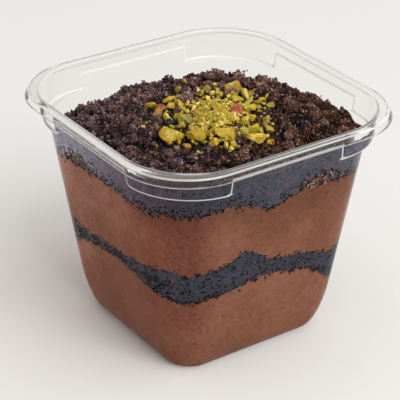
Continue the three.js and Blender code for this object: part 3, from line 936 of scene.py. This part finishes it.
# Where the pieces lie thickest, smaller ones are piled on and between them.
for turn in random_turns(PILED_COUNT):
    size = random.uniform(*PILED_SIZES)
    x, y = strewn_place()
    centre = np.array([x, y, float(heap_z(x, y)) + random.uniform(0.8, 2.2)])
    sizes = size * random.uniform((0.9, 0.7, 0.6), (1.3, 1, 0.9))
    small.append((centre, sizes, turn, random.uniform(0.4, 1)))
bits = []
for turn in random_turns(BITS_COUNT):
    size = BITS_SIZES[0] + (BITS_SIZES[1] - BITS_SIZES[0]) * random.random() ** 1.6
    x, y = strewn_place(1 if random.random() < 0.88 else 2.2)
    centre = np.array([x, y, float(heap_z(x, y)) + random.uniform(0.6, 2.1)])
    if math.hypot(x, y) < BITS_REACH:
        bits.append((centre, size * random.uniform(0.7, 1.2, 3), turn, random.uniform(0.6, 1.05)))

flesh, tree, shader = new_material("pistachio")
shader.inputs["Roughness"].default_value = 0.5
shader.inputs["Specular IOR Level"].default_value = 0.28
shader.inputs["Subsurface Weight"].default_value = 0.2
shader.inputs["Subsurface Radius"].default_value = (1, 0.5, 0.15)
shader.inputs["Subsurface Scale"].default_value = 0.6 * MM
coords = own_coords(tree)
tint = own_value(tree, "tint")
drift = ranged(tree, clouds(tree, coords, 480, 2), 0.25, 0.75, -0.2, 0.2)
# Here and there a little of the skin's orange shows in the flesh.
blush = ranged(tree, clouds(tree, coords, 330, 2), 0.62, 0.72, 0, -0.5)
inside = ramped(tree, added(tree, added(tree, drift, blush), tint), [
    (RED, (0.33, 0.050, 0.030)), (ORANGE, (0.56, 0.18, 0.022)), (TAN, (0.48, 0.25, 0.045)),
    (OLIVE, (0.33, 0.28, 0.042)), (GREEN, (0.42, 0.39, 0.052)), (YELLOW, (0.56, 0.36, 0.018)),
    (BRIGHT, (0.70, 0.48, 0.034)), (PALE, (0.84, 0.68, 0.19))])
outside = ramped(tree, tint, [(0.3, (0.36, 0.17, 0.070)), (0.6, (0.29, 0.24, 0.055))])
mottle = clouds(tree, coords, 1100, 3, 0.7)
colour = scaled(tree, mixed(tree, inside, outside, own_value(tree, "skin")),
                ranged(tree, mottle, 0.3, 0.7, 0.68, 1.14))
tree.links.new(colour, shader.inputs["Base Color"])
set_bumps(tree, shader, mottle, 0.9, 0.0005)

for piece in (
        scattered("pistachio_pieces", [chopped_kind(k) for k in range(14)], large, 0.6),
        scattered("pistachio_chips", [chip_kind(k, 9) for k in range(12)], small, 0),
        scattered("pistachio_bits", [chip_kind(20 + k, 5) for k in range(16)], bits, 0)):
    shade_by_angle(piece, 28)
    piece.data.materials.append(flesh)
    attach(piece, "root")


# --- Loose crumbs ---
# Broken biscuit and cake crumbs on the heap: knobbly clusters of a few millimetres, single crumbs, and fine
# grains that fill in between.
GRAIN_SIZES = (0.45, 1.05)
GAP_GRAINS = 7600
NUT_GRAINS = 700  # more of them among the nuts
LUMP_GRAINS = 9000


def knobbly_kinds(subdivisions, knob_size, knobs, spikes, count):
    """Corners and faces of a few different lumps of about unit size, each made up of smaller knobs."""
    kinds = []
    for k in range(count):
        bpy.ops.mesh.primitive_ico_sphere_add(subdivisions=subdivisions, radius=0.5)
        lump = bpy.context.object
        for corner in lump.data.vertices:
            way = corner.co.normalized()
            swell = noise.noise(way * 1.2 + Vector((11.3 * k, 5.1, 0)))
            nearest = noise.voronoi(way / knob_size + Vector((7.7 * k, 0.4, 3.1)))[0][0]
            spike = noise.noise(way * 5 + Vector((3.3 * k, 9.1, 0)))
            corner.co *= 1.1 + 0.7 * swell + spikes * spike - knobs * (nearest - 0.45)
        points, faces = corners_and_faces(lump)
        kinds.append((points / np.ptp(points, axis=0).mean(), faces))
    return kinds


def strewn(name, kinds, places, sizes, turns, tints):
    """One joined mesh with a copy of some kind at each place. Sizes are along the kind's own axes."""
    all_points, all_faces, all_tints = [], [], []
    first = 0
    for k, (points, faces) in enumerate(kinds):
        chosen = slice(k, None, len(kinds))
        shaped = points[None] * sizes[chosen][:, None, :]
        placed = np.einsum("nij,npj->npi", turns[chosen], shaped) + places[chosen][:, None, :]
        copies = len(placed)
        all_points.append(placed.reshape(-1, 3))
        offsets = first + np.arange(copies) * len(points)
        all_faces.append((faces[None] + offsets[:, None, None]).reshape(-1, 3))
        all_tints.append(np.repeat(tints[chosen], len(points)))
        first += copies * len(points)
    return joined_piece(name, all_points, all_faces, all_tints)


def places_on_heap(count, clear_of_wall, clear_of_nuts):
    """Chance places all over the heap's top, clear of the large pistachio pieces."""
    middles = np.array([centre[:2] for centre, *_ in large])
    radii = np.array([0.5 * math.sqrt(sizes[0] * sizes[1]) for _, sizes, *_ in large])
    found = np.zeros((0, 2))
    while len(found) < count:
        tried = random.uniform(-1, 1, (2 * count, 2)) * heap_outline[0]
        inside = np.hypot(*tried.T) < reach(bearings(tried), heap_outline) - clear_of_wall
        away = np.hypot(*(tried[:, None] - middles[None]).transpose(2, 0, 1)) - radii
        found = np.concatenate([found, tried[inside & (away.min(axis=1) > clear_of_nuts)]])
    found = found[:count]
    return np.column_stack([found, heap_z(*found.T)])


def painted_side_light(places):
    """How much paler the crumbs are towards two sides of the cup, as painted light falling on them from
    there.
    """
    x, y = places[:, 0], places[:, 1]
    return 0.12 * np.clip((y * 0.58 - x * 0.82) / 42, 0, 1) + 0.09 * np.clip((x + y) / 38, 0, 1)


def finish_crumbs(name, kinds, places, sizes, tints):
    """Joins crumbs to one piece, each turned by chance, and gives it their material."""
    sizes = sizes[:, None] * random.uniform(0.7, 1.25, (len(sizes), 3))
    crumbs = strewn(name, kinds, places, sizes, random_turns(len(sizes)), np.clip(tints, 0.03, 1))
    shade_by_angle(crumbs, 25)
    crumbs.data.materials.append(crumb)
    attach(crumbs, "root")


lumps = []
# Name, subdivisions, size and depth of the knobs, count, smallest and largest size, how proud they lie.
for name, subdivisions, knob_size, knobs, count, smallest, largest, proud in (
        ("crumb_clusters", 3, 0.5, 0.9, 290, 2.6, 4.6, 0.24),
        ("crumb_lumps", 3, 0.6, 0.9, 430, 1.4, 2.6, 0.3),
        ("crumbs_single", 2, 0.9, 0.7, 1500, 0.8, 1.5, 0.4)):
    size = smallest + (largest - smallest) * random.random(count) ** 1.6
    places = places_on_heap(count, 0.6 * largest, 0.3 * largest)
    places[:, 2] += size * proud * random.uniform(-0.8, 1.6, count)
    tints = random.normal(0.43, 0.15, count) + painted_side_light(places)
    if largest > 2:
        lumps.append(np.column_stack([places, size, tints]))
    finish_crumbs(name, knobbly_kinds(subdivisions, knob_size, knobs, 0.4, 8), places, size, tints)

# Fine grains lie in the gaps, darker as painted shade there, and grains stick out all over the lumps; a few
# of them are much paler.
fine_places = places_on_heap(GAP_GRAINS, 0.5, 0.3)
fine_places[:, 2] += random.uniform(-0.7, 0.4, len(fine_places))
among_nuts = np.array([strewn_place(1.2) for _ in range(NUT_GRAINS)])
among_nuts = np.column_stack([among_nuts, heap_z(*among_nuts.T) + random.uniform(0.6, 2.2, len(among_nuts))])
fine_places = np.concatenate([fine_places, among_nuts])
shaded_fine_tints = random.normal(0.32, 0.15, len(fine_places)) + painted_side_light(fine_places)
lumps = np.concatenate(lumps)
hosts = lumps[random.choice(len(lumps), LUMP_GRAINS, p=lumps[:, 3] ** 2 / (lumps[:, 3] ** 2).sum())]
ways = random.normal(size=(len(hosts), 3))
ways[:, 2] = np.abs(ways[:, 2]) - 0.3
ways /= np.linalg.norm(ways, axis=1, keepdims=True)
stuck_places = hosts[:, :3] + ways * hosts[:, 3:4] * random.uniform(0.4, 0.56, (len(hosts), 1))
stuck_tints = hosts[:, 4] + random.normal(0.02, 0.2, len(hosts))
for name, places, tints in (("crumbs_fine", fine_places, shaded_fine_tints),
                            ("crumb_grains", stuck_places, stuck_tints)):
    size = GRAIN_SIZES[0] + (GRAIN_SIZES[1] - GRAIN_SIZES[0]) * random.random(len(places)) ** 1.5
    tints = np.where(random.random(len(places)) < 0.02, 0.9, tints)
    finish_crumbs(name, knobbly_kinds(1, 1, 0.6, 0.4, 12), places, size, tints)


# --- Crumbs on the wall ---
# Moist crumbs pressed flat on the clear wall: thickest along the edges of the band and under the heap, some
# all over the band, browner drier ones in two places, and a few loose ones in the mousse.
food_steps = np.linalg.norm(np.roll(edge, -1, axis=0) - edge, axis=1)


def wall_places(heights, count, spread_mm, further_up=0, middle=0, half_width=1e6):
    """Places on the wall's inner face near a joint, with the way out from the wall at each. They lie all
    round, or mostly within some degrees of one direction."""
    weight = food_steps * np.exp(-((turned_from(edge_degrees, middle) / half_width) ** 2))
    chosen = random.choice(len(food_places), count, p=weight / weight.sum())
    z = heights[chosen] + spread_mm * random.normal(size=count) + further_up * random.random(count)
    points = outline_points(food_places[chosen], body_outline(z, INTO_WALL), z)
    further = outline_points(food_places[chosen], body_outline(z, INTO_WALL - 1), z)
    return points, further - points


def flat_turns(outward):
    """Turns that lay a lump's own X along the way out, with a chance turn about it."""
    out = outward / np.linalg.norm(outward, axis=1, keepdims=True)
    along = np.cross(out, [0, 0, 1])
    along /= np.linalg.norm(along, axis=1, keepdims=True)
    up = np.cross(out, along)
    turn = random.uniform(0, 2 * math.pi, len(out))[:, None]
    first = np.cos(turn) * along + np.sin(turn) * up
    second = -np.sin(turn) * along + np.cos(turn) * up
    return np.stack([out, first, second], axis=2)


# Where browner ones lie: degrees from +X, and how far each way.
DRIER = ((286, 5), (167, 8))
# Heights round the wall, how many crumbs, and how far they stray up and down; the last row's lie mostly
# within 34 degrees of one direction.
band_z = band_top_z - band_bottom_z
WALL_CRUMBS = ((band_bottom_z, 620, 0.6), (band_bottom_z + 1.2, 380, 1.0), (band_top_z, 480, 0.6),
               (band_bottom_z + 0.33 * band_z, 420, 1.0), (band_bottom_z + 0.67 * band_z, 380, 1.0),
               (mousse_top_z, 620, 0.6), (mousse_top_z + 1.2, 420, 1.0), (mousse_top_z + 3, 200, 1.4),
               (band_bottom_z + 0.5 * band_z, 240, 0.9, 0, 182, 34))
found = [wall_places(*row) for row in WALL_CRUMBS]
places = np.concatenate([points for points, _ in found])
outward = np.concatenate([out for _, out in found])
size = 0.55 + 0.4 * random.random(len(places)) ** 1.5
tints = random.normal(-0.3, 0.08, len(places))
for at, width in DRIER:
    dry, dry_out = wall_places(mousse_top_z + 1.8, 230, 1.3, 0, at, width)
    places, outward = np.concatenate([places, dry]), np.concatenate([outward, dry_out])
    size = np.concatenate([size, random.uniform(0.5, 1.1, len(dry))])
    tints = np.concatenate([tints, random.choice([-0.1, 0.4, 0.5, 0.85], len(dry))])
# A few in the mousse, of which only a faint speck shows.
loose, loose_out = wall_places(np.full(len(food_places), 15.0), 420, 0, 50)
places, outward = np.concatenate([places, loose]), np.concatenate([outward, loose_out])
size = np.concatenate([size, 0.15 + 0.3 * random.random(len(loose)) ** 1.5])
tints = np.concatenate([tints, random.uniform(0.3, 0.6, len(loose))])
sizes = np.column_stack([np.full(len(places), 0.36), size * random.uniform(0.9, 1.4, len(places)), size])
round_kinds = knobbly_kinds(1, 1, 0.3, 0, 12)
wall_crumbs = strewn("crumbs_on_wall", round_kinds, places, sizes, flat_turns(outward), tints)
shade_by_angle(wall_crumbs, 55)
wall_crumbs.data.materials.append(crumb)
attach(wall_crumbs, "root")

# Loose ones lie heaped up against the inside of the clinging crumbs.
found = [wall_places(edge_z + share * (cling_z - edge_z), count, 0.6, 0, 230, 60)
         for share, count in ((0.05, 260), (0.25, 200), (0.5, 140), (0.8, 70))]
outward = np.concatenate([out for _, out in found])
size = 0.8 + 1.6 * random.random(len(outward)) ** 1.5
inwards = 0.3 + CLING_DEPTH + 0.35 * size[:, None]
places = np.concatenate([points for points, _ in found]) - outward * inwards
finish_crumbs("crumbs_banked", knobbly_kinds(2, 0.9, 0.7, 0.4, 8), places, size,
              random.normal(0.38, 0.15, len(size)))


# --- Stage: floor, light and camera ---
# A plain pale floor in a pale room, with soft light from a large window at the front right, a panel in front
# and a weak ceiling lamp, and a long lens that looks down on the cup.
bpy.ops.mesh.primitive_plane_add(size=6)
floor = bpy.context.object
floor.name = "floor"
pale, tree, shader = new_material("pale_floor")
shader.inputs["Base Color"].default_value = (0.80, 0.80, 0.79, 1)
shader.inputs["Roughness"].default_value = 0.9
floor.data.materials.append(pale)

world = bpy.data.worlds.new("soft_room")
bpy.context.scene.world = world
world.use_nodes = True
world.node_tree.nodes["Background"].inputs["Color"].default_value = (1, 0.92, 0.88, 1)
world.node_tree.nodes["Background"].inputs["Strength"].default_value = 0.64

window = bpy.data.lights.new("window", "SUN")
window.energy = 1.15
window.angle = math.radians(80)
window.color = (0.79, 0.97, 1)
panel = bpy.data.lights.new("panel", "AREA")
panel.energy = 8.6
panel.size = 0.8
panel.color = (1, 0.96, 0.95)
ceiling = bpy.data.lights.new("ceiling", "AREA")
ceiling.energy = 0.5
ceiling.size = 1
ceiling.color = (1, 0.95, 0.92)
for lamp, place in ((window, Vector((0.55, -0.84, 0.8))), (panel, Vector((0, -1, 0.9))),
                    (ceiling, Vector((0, 0, 0.9)))):
    lamp_object = bpy.data.objects.new(lamp.name, lamp)
    bpy.context.collection.objects.link(lamp_object)
    lamp_object.location = place
    lamp_object.rotation_euler = (place - Vector((0, 0, 0.04))).to_track_quat("Z", "Y").to_euler()

AZIMUTH, ELEVATION, ROLL = -0.616, 0.498, 0.013
DISTANCE = 596.8 * MM
TARGET = Vector((3.92, 8.74, 40)) * MM
SENSOR_WIDTH = 36
FOCAL_SHARE = 4.20425  # focal length over the sensor's width
ahead = Vector((-math.sin(AZIMUTH) * math.cos(ELEVATION), math.cos(AZIMUTH) * math.cos(ELEVATION),
                -math.sin(ELEVATION)))
lens = bpy.data.cameras.new("camera")
lens.sensor_width = SENSOR_WIDTH
lens.lens = SENSOR_WIDTH * FOCAL_SHARE
camera = bpy.data.objects.new("camera", lens)
bpy.context.collection.objects.link(camera)
camera.location = TARGET - ahead * DISTANCE
facing = ahead.to_track_quat("-Z", "Y").to_matrix()
camera.rotation_euler = (facing @ Matrix.Rotation(ROLL, 3, "Z")).to_euler()
bpy.context.scene.camera = camera
bpy.context.scene.view_settings.view_transform = "Standard"
